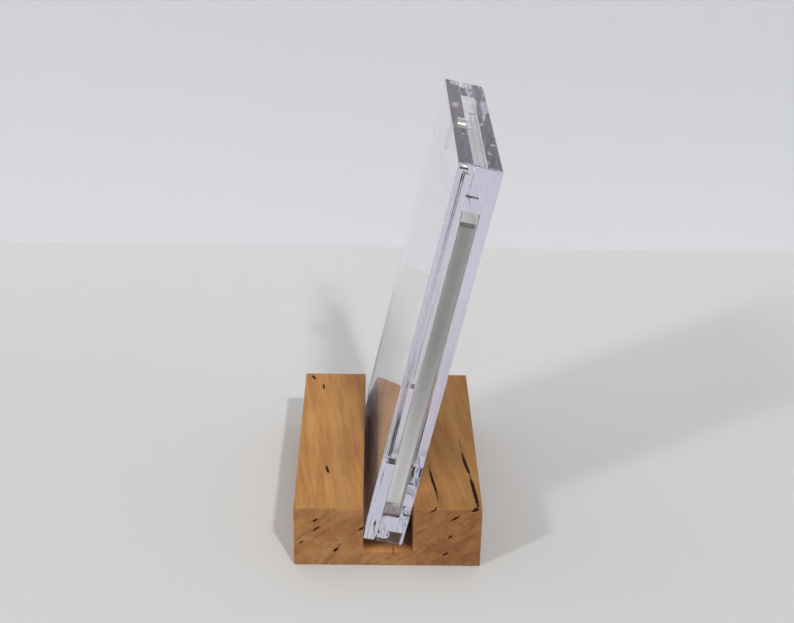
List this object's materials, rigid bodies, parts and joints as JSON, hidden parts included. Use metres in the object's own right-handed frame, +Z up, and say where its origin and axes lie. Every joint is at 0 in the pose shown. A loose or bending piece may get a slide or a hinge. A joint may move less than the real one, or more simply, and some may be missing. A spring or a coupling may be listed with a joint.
{
  "type": "card display case with stand",
  "caption": "Slim clear two-part magnetic card case with a hooked cover, leaning back in the slot of a hardwood block stand.",
  "frame": {"origin": "middle of the wooden block's underside, which is the face that it rests on", "axes": "+Z up; +Y along the slot; +X across the slot, to the side that the case leans towards"},
  "size_m": [0.0585, 0.0894, 0.1292],
  "materials": {
    "hardwood": "oiled, fine straight grain",
    "clear_acrylic": "clear, polished",
    "plated_magnet": "pale gold plating",
    "keeper_steel": "bright plating",
    "clear_sleeve": "clear, smooth",
    "card_board": "matt, bare"
  },
  "bodies": {
    "stand": {"stand_block": "hardwood"},
    "case": {"rear_shell": "clear_acrylic", "shell_keeper": "keeper_steel", "card_sleeve": "clear_sleeve", "display_card": "card_board"},
    "cover": {"front_cover": "clear_acrylic", "cover_magnet": "plated_magnet"}
  },
  "joints": [
    {"name": "case_lift", "type": "slide", "parent": "stand", "child": "case", "axis": [0.2036, 0, 0.979], "range_m": [0, 0.03]},
    {"name": "cover_hinge", "type": "hinge", "parent": "case", "child": "cover", "pos_m": [-0.0009, 0, 0.00785], "axis": [0, -1, 0], "range_deg": [0, 9]}
  ]
}
